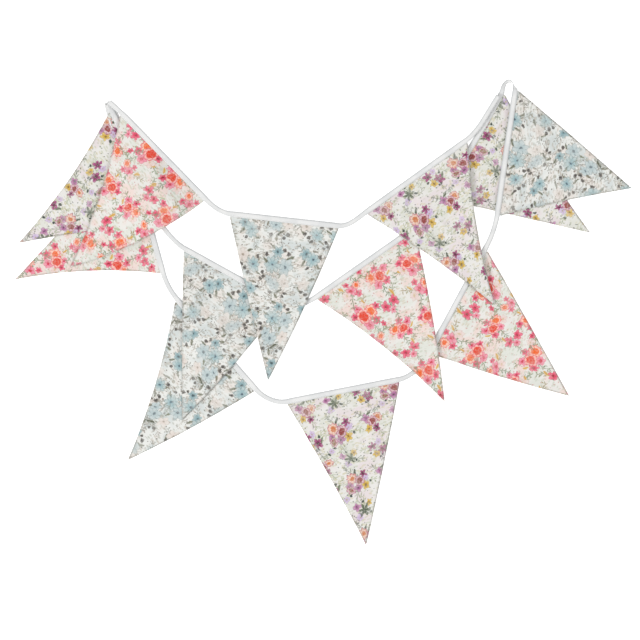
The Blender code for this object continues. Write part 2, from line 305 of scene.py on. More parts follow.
def foldHeight(flag, point):
    across = np.dot(point - flag.start, flag.along)
    down = np.dot(point - flag.start, flag.down)
    height = 0.0
    for a, d, turn, length, wide, high in flagFolds[flag.name]:
        x = across - a * flag.width
        y = down - d * flag.drop
        cos, sin = math.cos(math.radians(turn)), math.sin(math.radians(turn))
        u = (x * cos + y * sin) / (length * mm / 2)
        v = (-x * sin + y * cos) / (wide * mm / 2)
        height += high * mm * math.exp(-u * u - v * v)
    return height


def addMesh(name, points, faces, maps, material):
    mesh = bpy.data.meshes.new(name)
    mesh.from_pydata([tuple(p) for p in points], [], faces)
    for mapName, values in maps.items():
        layer = mesh.uv_layers.new(name=mapName)
        loops = np.array([loop.vertex_index for loop in mesh.loops])
        layer.data.foreach_set("uv", np.asarray(values, dtype=np.float32)[loops].ravel())
    mesh.materials.append(material)
    mesh.shade_smooth()
    obj = bpy.data.objects.new(name, mesh)
    bpy.context.scene.collection.objects.link(obj)
    return obj


def noiseAt(across, down, turns, layer):
    return noise.noise(Vector((across * turns[0], down * turns[1], layer)))


def makeFlag(flag, number, material, tapeHeights):
    rows = flagRows(flag)
    inTape = tapeHeights[flag.first:flag.last]
    shares = np.linspace(0, 1, flagCut["steps"] + 1)
    inTape = np.interp(shares, np.linspace(0, 1, len(inTape)), inTape)
    own = solidTree([flag.name])
    others = solidTree([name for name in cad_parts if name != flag.name])
    half = flagCut["thick"] / 2
    index, plan, z, low, high = {}, [], [], [], []
    for k, row in enumerate(rows):
        for i, point in enumerate(row):
            index[(k, i)] = len(plan)
            plan.append(point)
            layers = layersAt(own, *point)
            if layers:
                bottom, top = layers[0]
            else:
                near = own.find_nearest(Vector((*point, z[-1] if z else 0.002)))[0]
                bottom = near.z - half
                top = near.z + half
            z.append(bottom + half)
            above = others.ray_cast(Vector((*point, top + 1e-5)), Vector((0, 0, 1)))[0]
            high.append((top + above.z) / 2 if above else 1.0)
            below = others.ray_cast(Vector((*point, bottom - 1e-5)), Vector((0, 0, -1)))[0]
            low.append((bottom + below.z) / 2 if below else 0.0)
    plan = np.array(plan)
    z, low, high = np.array(z), np.array(low), np.array(high)
    faces = [[index[place] for place in face] for face in rowFaces(rows)]
    total = len(plan)
    edges = np.array([(f[j], f[j - 1]) for f in faces for j in range(len(f))])
    degree = np.bincount(edges.ravel(), minlength=total)
    solid = z.copy()
    for _ in range(flagCut["smooth"]):
        around = np.bincount(edges[:, 0], z[edges[:, 1]], total)
        around += np.bincount(edges[:, 1], z[edges[:, 0]], total)
        z = (z + around / degree) / 2
    z = np.maximum(z, solid - flagCut["sink"])
    sunk = tapeCut["slot"] - flagCut["solidHalf"] - tapeCut["ply"] - tapeCut["open"] / 2 + half
    waveHigh, *waveTurns = flagRelief["wave"]
    crumpleHigh, *crumpleTurns = flagRelief["crumple"]
    curlHigh, curlReach = flagRelief["curl"]
    puckerHigh, puckerPitch, puckerReach = flagRelief["pucker"]
    held, relief, rim = np.zeros(total), np.zeros(total), np.zeros((total, 2))
    for n in range(total):
        distance, along = edgeDistance(flag, plan[n])
        rim[n] = distance, along
        down = max(np.dot(plan[n] - flag.start, flag.down), 0)
        across = np.dot(plan[n] - flag.start, flag.along)
        held[n] = max(0.0, 1 - down / flagCut["hold"]) ** 2
        free = 1 - held[n]
        wave = noiseAt(across, down, waveTurns, number * 7.3)
        crumple = noiseAt(across, down, crumpleTurns, number * 4.1 + 50)
        pucker = math.sin(across / puckerPitch + 3 * wave) * math.exp(-down / puckerReach)
        curl = math.exp(-distance / curlReach) * (0.5 + wave)
        relief[n] = foldHeight(flag, plan[n]) + waveHigh * wave + crumpleHigh * crumple
        relief[n] = (relief[n] + curlHigh * curl) * free + puckerHigh * pucker - sunk * held[n]
    room = flagCut["room"] + half
    lowest = low + room - flagCut["room"] * (low == 0)
    z = np.clip(z + relief, lowest, np.maximum(high - room, low + room))
    heldRows = 3 * len(inTape)
    z[:heldRows] = np.tile(inTape, 3)
    z[heldRows:heldRows + len(inTape)] = (z[heldRows:heldRows + len(inTape)] + inTape) / 2
    rise = half + flagCut["seam"] / 2 * np.exp(-(rim[:, 0] / flagCut["seamWide"]) ** 4)
    rise *= np.sqrt(np.clip(rim[:, 0] / flagCut["rimRound"], flagCut["rimEdge"], 1))
    rise[:heldRows] = half
    turns, reach = flagRelief["wander"]
    for n in range(total):
        push = noise.noise(Vector((rim[n, 1] * turns, number * 3.1, 0)))
        push *= math.exp(-rim[n, 0] / reach) * (1 - held[n])
        plan[n] += flag.along * push * flagCut["wander"]
    topSide = np.column_stack((plan, z + rise))
    underside = np.column_stack((plan, z - rise))
    underside[:, 2] = np.maximum(underside[:, 2], 0.0)
    facesAll = faces + [[total + i for i in reversed(face)] for face in faces]
    outline = [index[place] for place in rimOf(rows)]
    for a, b in zip(outline, outline[1:] + outline[:1]):
        facesAll.append([b, a, total + a, total + b])
    a, b, c = (topSide[i] for i in faces[0][:3])
    if np.cross(b - a, c - a)[2] < 0:
        facesAll = [list(reversed(face)) for face in facesAll]
    turn = math.radians(printTurn[number % len(printTurn)])
    shift = np.array(printShift[number % len(printShift)]) * mm
    across = (plan - flag.start) @ flag.along
    down = (plan - flag.start) @ flag.down
    u = (across * math.cos(turn) - down * math.sin(turn) + shift[0]) / mm
    v = (across * math.sin(turn) + down * math.cos(turn) + shift[1]) / mm
    cloth = np.column_stack((u, v))
    back = np.column_stack((u + 37, -v + 11))
    maps = {"cloth": np.vstack((cloth, back)), "rim": np.vstack((rim, rim)) / mm}
    piece = addMesh(flag.name + "_cloth", np.vstack((topSide, underside)), facesAll, maps, material)
    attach(piece, "root")
    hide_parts(flag.name)
    flag.name.split("_")[-1] + "_cotton"
    return piece


# Where on the printed cotton each flag is cut: turn in degrees, shift in mm
printTurn = [4, -3, 8, -6, 2, -9, 5, -2, 7, -5, 3, -8]
printShift = [(0, 0), (31, 12), (14, 40), (52, 21), (9, 33), (66, 8), (40, 50), (23, 61), (74, 29),
              (12, 17), (58, 44), (35, 3)]


class Section:
    def __init__(self, middle, out, opened=0.0):
        self.middle = np.array(middle, dtype=float)
        self.out = unit(np.array((*out, 0.0)[:3]))
        self.opened = opened
        self.base = None


def flagSections(flag):
    # The tape along a flag, a little lower than the solid's, so that its thinner plies lie down
    count = round(flag.width / tapeCut["step"])
    own = solidTree([flag.name])
    sections = []
    for share in np.linspace(0, 1, count + 1):
        out = flag.out(share)
        heading = flag.heading(share)
        hold = heading + out * flagCut["tuck"] / 2
        inside = flag.start + (flag.end - flag.start) * min(max(share, 0.01), 0.99)
        layers = layersAt(own, *(hold + (inside - flag.heading(share)) * 0.5))
        slot = sum(layers[0]) / 2 if layers else sections[-1].middle[2]
        middle = (*(heading + out * tapeCut["wide"] / 2), slot)
        sections.append(Section(middle, out, opened=1.0))
    return sections


def between(a, b, leadOut, leadIn, step):
    span = np.linalg.norm(b.middle - a.middle)
    count = max(2, round(span / step))
    sections = []
    for t in np.linspace(0, 1, count + 1)[1:-1]:
        middle = (
            a.middle * (2 * t**3 - 3 * t**2 + 1)
            + leadOut * span * (t**3 - 2 * t**2 + t)
            + b.middle * (3 * t**2 - 2 * t**3)
            + leadIn * span * (t**3 - t**2)
        )
        sections.append(Section(middle, a.out * (1 - t) + b.out * t))
    return sections


def flat3(vector):
    return np.array((vector[0], vector[1], 0.0))


def marked(x, y, height, facing, tilt):
    facing, tilt = math.radians(facing), math.radians(tilt)
    out = (math.cos(facing) * math.cos(tilt), math.sin(facing) * math.cos(tilt), math.sin(tilt))
    return Section(np.array((x, y, height)) * mm, out)


def through(marks, before, after, leadOut, leadIn):
    chain = [s for s in (before, *marks, after) if s is not None]
    leads = []
    for i in range(len(chain)):
        ahead = chain[min(i + 1, len(chain) - 1)].middle
        leads.append(unit(ahead - chain[max(i - 1, 0)].middle))
    if before is not None:
        leads[0] = flat3(leadOut)
    if after is not None:
        leads[-1] = flat3(leadIn)
    sections = []
    for i in range(len(chain) - 1):
        if chain[i] is not before:
            sections.append(chain[i])
        sections += between(chain[i], chain[i + 1], leads[i], leads[i + 1], tapeCut["bendStep"])
    if after is None:
        sections.append(chain[-1])
    return sections


def foldMarks():
    centre = marked(*tapeRoute["leftFold"])
    forth = flat3(leftOf(centre.out[:2]))
    marks = []
    for k in range(tapeRoute["foldParts"] + 1):
        angle = math.pi * (0.5 - k / tapeRoute["foldParts"])
        turned = forth * math.cos(angle) + np.array((0, 0, math.sin(angle)))
        marks.append(Section(centre.middle + turned * tapeRoute["foldRadius"] * mm, centre.out))
    return marks


plainTape = 1.2 * mm    # a layer thicker than this is tape, a thinner one is a ply of it


def settle(sections, a, b):
    # Heights of plain tape from the solid's layers, each the nearest to a line from a to b
    for n, section in enumerate(sections):
        t = (n + 1) / (len(sections) + 1)
        guess = a * (1 - t) + b * t
        layers = layersAt(tapeTree, *section.middle[:2])
        middles = [sum(layer) / 2 for layer in layers if layer[1] - layer[0] > plainTape]
        section.middle[2] = min(middles, key=lambda m: abs(m - guess)) if middles else guess


def tapeSections():
    bound = [flagSections(flag) for flag in flags]
    runs = []
    for i, flag in enumerate(flags):
        if i == 0:
            marks = [marked(*row) for row in tapeRoute["rightTail"]]
            run = through(marks, None, bound[0][0], None, flag.along)
        elif i == 3:
            run = through(foldMarks(), bound[2][-1], bound[3][0], flags[2].along, flag.along)
        elif i == 7:
            marks = [marked(*row) for row in tapeRoute["rightLoop"]]
            run = through(marks, bound[6][-1], bound[7][0], flags[6].along, flag.along)
        else:
            a, b = bound[i - 1][-1], bound[i][0]
            run = between(a, b, flat3(flags[i - 1].along), flat3(flag.along), tapeCut["step"])
            settle(run, a.middle[2], b.middle[2])
        runs.append(run)
        flag.first = sum(len(part) for part in runs)
        flag.last = flag.first + len(bound[i])
        runs.append(bound[i])
    marks = [marked(*row) for row in tapeRoute["leftTail"]]
    tail = through(marks, bound[-1][-1], None, flags[-1].along, None)
    settle(tail, bound[-1][-1].middle[2], tapeCut["solid"])
    runs.append(tail)
    sections = [section for run in runs for section in run]
    for section in sections:
        # level tape lies as low as the solid does, under its thicker plies
        if abs(section.out[2]) < tapeCut["level"]:
            half = tapeCut["slot"] if section.opened else tapeCut["solid"]
            section.base = section.middle[2] - half
    return sections


def softened(values, passes):
    values = np.array(values, dtype=float)
    for _ in range(passes):
        padded = np.concatenate((values[:1], values, values[-1:]))
        values = (padded[:-2] + 2 * padded[1:-1] + padded[2:]) / 4
    return values


def tapeFrames(sections):
    opened = softened([s.opened for s in sections], 2)
    gap = tapeCut["closed"] + (tapeCut["open"] - tapeCut["closed"]) * opened
    width = tapeCut["bare"] + (1 - tapeCut["bare"]) * softened([s.opened for s in sections], 6)
    middles = np.array([s.middle for s in sections])
    half = tapeCut["ply"] + gap / 2
    heights = []
    for section, h, middle in zip(sections, half, middles):
        heights.append(middle[2] if section.base is None else section.base + h + tapeCut["seat"])
    heights = softened(heights, 6)
    middles[:, 2] = heights
    tangent = np.gradient(middles, axis=0)
    tangent /= np.linalg.norm(tangent, axis=1)[:, None]
    outs = np.array([s.out for s in sections])
    outs = np.column_stack([softened(outs[:, i], 2) for i in range(3)])
    ups = np.cross(outs, tangent)
    ups /= np.linalg.norm(ups, axis=1)[:, None]
    outs = np.cross(tangent, ups)
    run = np.concatenate(([0], np.cumsum(np.linalg.norm(np.diff(middles, axis=0), axis=1))))
    return middles, outs, ups, gap, run, width * tapeCut["wide"]


def tapeRing(gap, wave, width):
    # The folded strip's section, from the lower ply's open edge round the fold and back inside
    wide, ply = width / 2, tapeCut["ply"]
    half = ply + gap / 2
    turn = wide - half
    ring = [(-wide, -half - wave), (-wide / 3, -half), (wide / 3, -half), (turn, -half)]
    for k in range(1, 4):
        angle = -math.pi / 2 + math.pi * k / 4
        ring.append((turn + half * math.cos(angle), half * math.sin(angle)))
    ring += [(turn, half), (wide / 3, half), (-wide / 3, half), (-wide, half + wave)]
    ring += [(-wide, gap / 2 + wave), (-wide / 3, gap / 2), (turn, gap / 2)]
    ring += [(turn, -gap / 2), (-wide / 3, -gap / 2), (-wide, -gap / 2 - wave)]
    return ring


def makeTape(frames, material):
    middles, outs, ups, gap, run, width = frames
    points, maps, edges, faces = [], [], [], []
    for n in range(len(middles)):
        wave = tapeCut["ripple"] * max(0, noise.noise(Vector((run[n] * 90, 0, 0))))
        ring = tapeRing(gap[n], wave, width[n])
        around = 0.0
        for j, (u, v) in enumerate(ring):
            points.append(middles[n] + outs[n] * u + ups[n] * v)
            if j:
                around += math.dist(ring[j], ring[j - 1])
            maps.append((run[n] / mm, around / mm))
            edges.append((u / width[n], 0))
    count = len(ring)
    for n in range(len(middles) - 1):
        for j in range(count):
            k = (j + 1) % count
            a, b = n * count, (n + 1) * count
            faces.append([a + j, a + k, b + k, b + j])
    faces.append(list(range(count - 1, -1, -1)))
    faces.append([len(points) - count + j for j in range(count)])
    points = np.array(points)
    points[:, 2] = np.maximum(points[:, 2], 0)
    piece = addMesh("heading_tape_cloth", points, faces, {"cloth": maps, "rim": edges}, material)
    bpy.context.view_layer.objects.active = piece
    piece.select_set(True)
    bpy.ops.object.mode_set(mode="EDIT")
    bpy.ops.mesh.select_all(action="SELECT")
    bpy.ops.mesh.normals_make_consistent(inside=False)
    bpy.ops.object.mode_set(mode="OBJECT")
    piece.select_set(False)
    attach(piece, "root")
    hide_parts("heading_tape")
    return piece


def makeStitches(frames, material):
    middles, outs, ups, gap, run, width = frames
    bpy.ops.mesh.primitive_uv_sphere_add(segments=6, ring_count=4, radius=0.5)
    seed = bpy.context.object
    one = np.array([v.co[:] for v in seed.data.vertices])[:, [2, 1, 0]]
    oneFaces = [list(reversed(p.vertices)) for p in seed.data.polygons]
    bpy.data.objects.remove(seed, do_unlink=True)
    one[:, 0] = np.sign(one[:, 0]) * np.abs(one[:, 0] * 2) ** 0.6 / 2
    points, faces = [], []
    for place in np.arange(4 * mm, run[-1] - 4 * mm, stitchCut["pitch"]):
        n = np.searchsorted(run, place) - 1
        t = (place - run[n]) / (run[n + 1] - run[n])
        middle = middles[n] * (1 - t) + middles[n + 1] * t
        out, up = unit(outs[n]), unit(ups[n])
        side = stitchCut["fromEdge"] - (width[n] * (1 - t) + width[n + 1] * t) / 2
        along = unit(middles[n + 1] - middles[n])
        half = tapeCut["ply"] + (gap[n] * (1 - t) + gap[n + 1] * t) / 2
        for face in (1, -1):
            proud = half + stitchCut["thick"] * (0.5 - stitchCut["sunk"])
            centre = middle + out * side + up * face * proud
            first = len(points)
            for x, y, w in one:
                points.append(
                    centre
                    + along * x * stitchCut["length"]
                    + out * y * stitchCut["thick"]
                    + up * w * stitchCut["thick"]
                )
            faces += [[first + i for i in f] for f in oneFaces]
    points = np.array(points)
    points[:, 2] = np.maximum(points[:, 2], 0)
    piece = addMesh("tape_stitches", points, faces, {}, material)
    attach(piece, "root")
    return piece


studioDims = 0.84       # share of a colour to paint so that it shows right in the bright studio


def paint(red, green, blue):
    # The linear colour that shows as this one, 0 to 255
    linear = []
    for value in (red / 255, green / 255, blue / 255):
        value = value / 12.92 if value <= 0.04045 else ((value + 0.055) / 1.055) ** 2.4
        linear.append(studioDims * value)
    return (*linear, 1)


class Shade:
    # A socket in a material's node tree, with arithmetic on it
    def __init__(self, tree, socket):
        self.tree = tree
        self.socket = socket

    def make(self, kind, settings=None, sockets=None, output=0):
        node = self.tree.nodes.new(kind)
        for key, value in (settings or {}).items():
            setattr(node, key, value)
        for key, value in (sockets or {}).items():
            if isinstance(value, Shade):
                self.tree.links.new(value.socket, node.inputs[key])
            else:
                node.inputs[key].default_value = value
        return Shade(self.tree, node.outputs[output])

    def math(self, operation, *values):
        return self.make("ShaderNodeMath", {"operation": operation}, dict(enumerate(values)))

    def __add__(self, other):
        return self.math("ADD", self, other)

    def __radd__(self, other):
        return self.math("ADD", other, self)

    def __sub__(self, other):
        return self.math("SUBTRACT", self, other)

    def __rsub__(self, other):
        return self.math("SUBTRACT", other, self)

    def __mul__(self, other):
        return self.math("MULTIPLY", self, other)

    def __rmul__(self, other):
        return self.math("MULTIPLY", other, self)

    def __truediv__(self, other):
        return self.math("DIVIDE", self, other)

    def absolute(self):
        return self.math("ABSOLUTE", self)

    def cosine(self):
        return self.math("COSINE", self)

    def rounded(self):
        return self.math("ROUND", self)

    def root(self):
        return self.math("SQRT", self)

    def most(self, other):
        return self.math("MAXIMUM", self, other)

    def ramp(self, low, high, start=0.0, end=1.0):
        # Soft step from start to end as this value goes from low to high
        sockets = {0: self, 1: low, 2: high, 3: start, 4: end}
        settings = {"interpolation_type": "SMOOTHSTEP", "clamp": False}
        return self.make("ShaderNodeMapRange", settings, sockets)

    def mixed(self, other, amount):
        # This colour with another laid over it
        sockets = {0: amount, 6: self, 7: other}
        settings = {"data_type": "RGBA", "clamp_factor": True}
        return self.make("ShaderNodeMix", settings, sockets, 2)

    def blended(self, first, second):
        # From one colour to another as this value goes from 0 to 1
        sockets = {0: self, 6: paint(*first), 7: paint(*second)}
        return self.make("ShaderNodeMix", {"data_type": "RGBA"}, sockets, 2)

    def vector(self, operation, *values):
        settings = {"operation": operation}
        return self.make("ShaderNodeVectorMath", settings, dict(enumerate(values)))

    def scaled(self, amount):
        return self.make("ShaderNodeVectorMath", {"operation": "SCALE"}, {0: self, 3: amount})

    def split(self):
        x = self.make("ShaderNodeSeparateXYZ", None, {0: self})
        return x, Shade(self.tree, x.socket.node.outputs[1])

    def bumped(self, strength, distance):
        sockets = {"Strength": strength, "Distance": distance, "Height": self}
        return self.make("ShaderNodeBump", None, sockets)

    def noise(self, size, detail=2.0, output=0):
        settings = {"noise_dimensions": "2D"}
        sockets = {"Vector": self, "Scale": 1 / size, "Detail": detail}
        return self.make("ShaderNodeTexNoise", settings, sockets, output)


def newMaterial(name):
    material = bpy.data.materials.new(name)
    material.use_nodes = True
    shader = material.node_tree.nodes["Principled BSDF"]
    shader.inputs["Metallic"].default_value = 0
    return material, shader


def uvOf(material, name):
    tree = material.node_tree
    node = tree.nodes.new("ShaderNodeUVMap")
    node.uv_map = name
    return Shade(tree, node.outputs[0])


def objectPlace(material):
    node = material.node_tree.nodes.new("ShaderNodeTexCoord")
    return Shade(material.node_tree, node.outputs["Object"])


def link(shade, socket):
    shade.tree.links.new(shade.socket, socket)


# Flowers of each print: number of petals, how deep the notches go, the screen colours of the
# petals' tips, their feet, the inked outline and the eye, and the eye's share of the flower
pinkFlowers = {
    "poppy": (8, 0.24, (238, 130, 132), (250, 200, 190), (208, 56, 82), (228, 64, 38), 0.60),
    "orange": (8, 0.24, (241, 148, 138), (250, 206, 186), (218, 78, 88), (240, 106, 48), 0.52),
    "rose": (5, 0.34, (243, 166, 182), (238, 134, 158), (206, 60, 98), (206, 48, 74), 0.32),
    "blossom": (5, 0.44, (240, 132, 156), (226, 66, 102), (188, 40, 74), (164, 38, 58), 0.26),
    "pale": (5, 0.38, (238, 222, 216), (234, 208, 202), (212, 176, 168), (214, 186, 150), 0.24),
}
plumFlowers = {
    "peony": (8, 0.24, (194, 128, 152), (224, 190, 196), (138, 58, 92), (148, 62, 62), 0.54),
    "peach": (8, 0.24, (218, 150, 142), (240, 210, 190), (166, 76, 108), (206, 122, 72), 0.42),
    "mauve": (4, 0.42, (206, 160, 192), (170, 102, 148), (130, 68, 114), (92, 48, 82), 0.24),
    "lilac": (5, 0.38, (220, 204, 226), (200, 178, 212), (170, 144, 186), (176, 160, 120), 0.2),
    "star": (5, 0.58, (184, 96, 146), (138, 42, 96), (104, 34, 74), (84, 36, 56), 0.26),
    "mustard": (5, 0.36, (230, 204, 120), (204, 164, 54), (158, 124, 44), (134, 104, 36), 0.28),
    "spray": (6, 0.92, (104, 114, 90), (78, 90, 70), (70, 80, 64), (72, 82, 64), 0.12),
    "seed": (3, 0.10, (84, 94, 86), (62, 72, 66), (52, 60, 54), (50, 58, 54), 0.3),
}
blueFlowers = {
    "daisy": (8, 0.30, (199, 211, 209), (154, 184, 189), (118, 142, 145), (70, 94, 108), 0.17),
    "watery": (6, 0.32, (206, 215, 214), (182, 198, 200), (142, 158, 160), (112, 126, 132), 0.20),
    "teal": (6, 0.42, (186, 202, 202), (136, 168, 174), (104, 130, 134), (72, 94, 100), 0.24),
    "berry": (3, 0.10, (120, 114, 106), (94, 88, 84), (76, 72, 70), (62, 60, 60), 0.3),
    "blush": (5, 0.38, (231, 225, 218), (225, 214, 206), (200, 188, 178), (170, 156, 142), 0.2),
}

# The printed repeats, listed one by one. A group's place is in its repeat, in mm, and its lists are
# of sprigs (turn, length, leaf, colour), leaves and buds (x, y, turn, length, width, colour) and
# flowers (kind, x, y, radius, turn). Some sprigs have their own x and y first.
pinkPrint = {
    "repeat": (94, 80),
    "closeness": 0.92,
    "bloom": 1.12,
    "faint": 0.86,
    "wearAndShade": 0.88,            # strength of the ink where it is palest
    "ground": (232, 230, 225),
    "wash": [(238, 214, 206), (222, 225, 215)],
    "leaflets": [(196, 202, 184), (210, 200, 178)],
    "speck": (204, 146, 140),
    "flowers": pinkFlowers,
}
pinkPrint["groups"] = [
    ((22, 20), [
        (58, 34, 5.2, (136, 148, 116)), (150, 32, 5, (150, 160, 134)), (-72, 32, 5, (156, 138, 94)),
        (-14, 34, 4.6, (150, 156, 136)),
    ], [
        (-16, 10, 40, 12, 4.6, (214, 164, 62)), (9, -21, 80, 11, 4.4, (206, 158, 60)),
        (22, 8, 20, 10, 4, (164, 176, 140)),
    ], [
        ("pale", -10, 9, 7.5, 20), ("rose", 2, 14, 7, 0), ("blossom", 16, 10, 6.2, 30),
        ("pale", 6, -14, 6.5, 50), ("blossom", -13, -4, 5.2, 10), ("orange", 13, -4, 9, 40),
        ("blossom", 25, -9, 5.2, 0), ("rose", -5, -14, 5.4, 0), ("poppy", -1, -1, 9.8, 10),
    ]),
    ((68, 58), [
        (80, 32, 5, (132, 144, 116)), (-30, 32, 5, (148, 152, 122)),
        (205, 30, 4.8, (158, 144, 102)),
    ], [
        (20, 3, -50, 11, 4.4, (216, 168, 66)), (-12, -13, 30, 11, 4.2, (170, 178, 138)),
    ], [
        ("rose", -4, 12, 6.4, 0), ("blossom", 12, 12, 6, 20), ("pale", -17, 7, 6.5, 0),
        ("rose", 15, -7, 6, 40), ("blossom", 1, -13, 5.6, 0), ("orange", -10, -3, 8.6, 70),
        ("poppy", 5, 2, 9.2, 30),
    ]),
    ((66, 18), [
        (-9, 2, -12, 24, 3.4, (110, 110, 78)), (70, 28, 4.6, (142, 152, 126)),
        (4, -2, -58, 26, 4.6, (144, 148, 116)),
    ], [
        (12, -13, 80, 13, 5.2, (208, 158, 56)), (-14, -9, 30, 10, 4, (176, 184, 150)),
    ], [
        ("blossom", -9, 2, 7, 0), ("blossom", 9, -2, 7.4, 40), ("rose", 1, 10, 5.2, 10),
    ]),
    ((22, 60), [
        (100, 28, 4.6, (132, 144, 116)), (-40, 30, 4.8, (138, 148, 120)),
        (190, 28, 4.6, (162, 150, 110)),
    ], [
        (-14, -8, 50, 11, 4.6, (212, 166, 70)), (5, 17, -20, 10, 4, (168, 178, 142)),
    ], [
        ("rose", 0, 0, 7, 0), ("blossom", 10, 7, 5.4, 60), ("orange", 12, -6, 6.4, 0),
        ("pale", -10, 5, 6.5, 30), ("blossom", -3, -12, 4.6, 0),
    ]),
    ((45, 38), [
        (30, 20, 4.2, (128, 138, 114)), (215, 20, 4.2, (148, 152, 128)),
    ], [], [
        ("blossom", 0, 0, 4.6, 0), ("pale", 9, 5, 5, 0),
    ]),
]
plumPrint = {
    "repeat": (92, 82),
    "closeness": 0.80,
    "bloom": 0.95,
    "faint": 0.62,
    "wearAndShade": 0.76,
    "ground": (231, 229, 225),
    "wash": [(228, 216, 218), (221, 222, 212)],
    "leaflets": [(194, 197, 174), (210, 202, 168)],
    "speck": (96, 104, 96),
    "flowers": plumFlowers,
}
plumPrint["groups"] = [
    ((22, 20), [
        (66, 34, 5.4, (128, 142, 104)), (158, 30, 5, (158, 170, 128)), (-66, 30, 5.2, (84, 94, 72)),
        (-8, 34, 4.6, (162, 174, 136)),
    ], [
        (4, -18, 70, 14, 4.6, (72, 82, 64)), (-10, -13, 20, 13, 4.4, (90, 100, 78)),
    ], [
        ("mustard", -10, 12, 7, 20), ("mauve", 5, 13, 7, 20), ("mauve", 20, 4, 6, 0),
        ("lilac", -14, -2, 6, 0), ("seed", -21, 8, 2, 0), ("star", -12, -12, 6.4, 0),
        ("peony", 19, 13, 7.4, 0), ("peach", 13, -8, 9.6, 40), ("peony", -1, 0, 9, 10),
    ]),
    ((68, 22), [
        (95, 30, 4.8, (92, 102, 78)), (-25, 30, 4.8, (164, 174, 140)),
        (200, 28, 4.6, (176, 180, 140)),
    ], [
        (-17, 2, 60, 12, 4.2, (94, 104, 78)),
    ], [
        ("star", -8, 5, 8.4, 0), ("star", 10, -8, 8, 50), ("mustard", 6, 9, 6.2, 15),
        ("lilac", -3, -12, 5.6, 0), ("seed", -14, -6, 2.3, 0), ("seed", 16, 3, 2.1, 0),
        ("seed", 0, 17, 2.1, 0), ("seed", -6, 14, 2, 0),
    ]),
    ((22, 62), [
        (30, 24, 5, (96, 106, 82)), (150, 24, 5, (120, 130, 100)), (265, 24, 4.8, (150, 160, 124)),
    ], [], [
        ("mauve", 13, -9, 6.4, 0), ("lilac", 9, 10, 6, 0), ("mustard", -11, -9, 5.4, 0),
        ("seed", -12, 6, 2.2, 0), ("seed", 2, -15, 2.1, 0), ("spray", 0, 0, 10, 20),
    ]),
    ((68, 64), [
        (110, 28, 4.8, (150, 162, 122)), (-50, 30, 5, (92, 102, 78)),
        (185, 28, 4.6, (168, 176, 138)),
    ], [
        (3, -16, 30, 12, 4.4, (86, 96, 72)),
    ], [
        ("peach", -12, -5, 7.8, 0), ("mauve", 11, -8, 6.8, 0), ("mustard", 9, 10, 6, 0),
        ("star", -5, 13, 6.4, 0), ("peony", 0, 0, 8.4, 30),
    ]),
    ((45, 42), [
        (20, 20, 4.4, (108, 118, 90)), (230, 20, 4.4, (168, 176, 140)),
    ], [], [
        ("lilac", 0, 0, 5.4, 0), ("seed", 8, 5, 2.2, 0), ("seed", -8, -5, 2.1, 0),
    ]),
]
bluePrint = {
    "repeat": (94, 84),
    "closeness": 0.94,
    "bloom": 1.12,
    "faint": 0.50,
    "wearAndShade": 0.68,
    "ground": (232, 233, 229),
    "wash": [(208, 215, 214), (230, 223, 216)],
    "leaflets": [(176, 178, 166), (194, 184, 172)],
    "speck": (112, 100, 92),
    "flowers": blueFlowers,
}
bluePrint["groups"] = [
    ((22, 20), [
        (62, 36, 5.8, (92, 88, 72)), (150, 32, 5.4, (132, 118, 96)), (-64, 34, 5.4, (100, 88, 74)),
        (-6, 34, 5, (146, 156, 144)),
    ], [
        (20, 0, -40, 14, 5.2, (100, 102, 80)), (-4, 21, 70, 13, 5, (116, 120, 96)),
        (-17, -2, 20, 12, 5, (104, 108, 88)), (9, -20, -30, 12, 4.8, (110, 112, 92)),
    ], [
        ("watery", -11, 10, 10.5, 20), ("daisy", 9, 6, 11, 20), ("teal", 1, -12, 7.6, 10),
        ("berry", -15, -8, 2.6, 0), ("berry", -9, -14, 2.4, 0), ("berry", 19, -9, 2.6, 0),
    ]),
    ((68, 22), [
        (95, 32, 4.8, (104, 88, 76)), (-25, 30, 5.2, (94, 96, 80)), (200, 30, 4.8, (146, 134, 112)),
    ], [
        (-2, -15, 20, 14, 5, (98, 100, 80)), (16, 1, -60, 12, 5, (102, 106, 86)),
        (-15, -1, 50, 12, 4.6, (118, 112, 92)),
    ], [
        ("daisy", -8, 4, 9.6, 0), ("blush", 10, -8, 9, 50), ("berry", 6, 10, 2.8, 0),
        ("berry", 12, 5, 2.4, 0), ("berry", -16, -8, 2.4, 0), ("berry", 2, 17, 2.5, 0),
    ]),
    ((22, 62), [
        (25, 30, 5.4, (90, 92, 76)), (150, 28, 5.4, (122, 110, 94)), (265, 28, 5, (146, 154, 142)),
        (90, 24, 4.6, (112, 100, 86)),
    ], [
        (0, 4, 30, 15, 5.6, (84, 88, 70)), (6, 13, 100, 12, 4.8, (108, 108, 88)),
    ], [
        ("watery", 8, -8, 9.4, 0), ("blush", -11, -9, 8, 0), ("berry", -11, 8, 2.7, 0),
        ("berry", -5, 13, 2.4, 0), ("berry", 16, 7, 2.7, 0),
    ]),
    ((68, 64), [
        (110, 30, 5, (132, 128, 108)), (-50, 32, 5.4, (98, 98, 82)), (190, 28, 4.8, (120, 104, 88)),
    ], [
        (-9, 10, -30, 13, 5, (104, 104, 84)), (14, 3, 60, 12, 5, (106, 108, 88)),
        (-5, -13, -20, 12, 4.6, (112, 106, 90)),
    ], [
        ("teal", 11, -9, 7.6, 0), ("daisy", 0, 0, 10, 30), ("berry", -12, -4, 2.6, 0),
        ("berry", 7, 12, 2.4, 0),
    ]),
    ((45, 42), [
        (-8, -8, 40, 26, 4.6, (114, 96, 80)), (200, 20, 4.8, (128, 126, 108)),
    ], [
        (10, -5, -40, 11, 4.6, (104, 106, 86)), (-3, 10, 60, 10, 4.4, (118, 112, 94)),
    ], [
        ("watery", -9, 5, 6.4, 0), ("berry", 0, 0, 2.7, 0), ("berry", 6, 4, 2.5, 0),
        ("berry", 2, -7, 2.5, 0),
    ]),
]


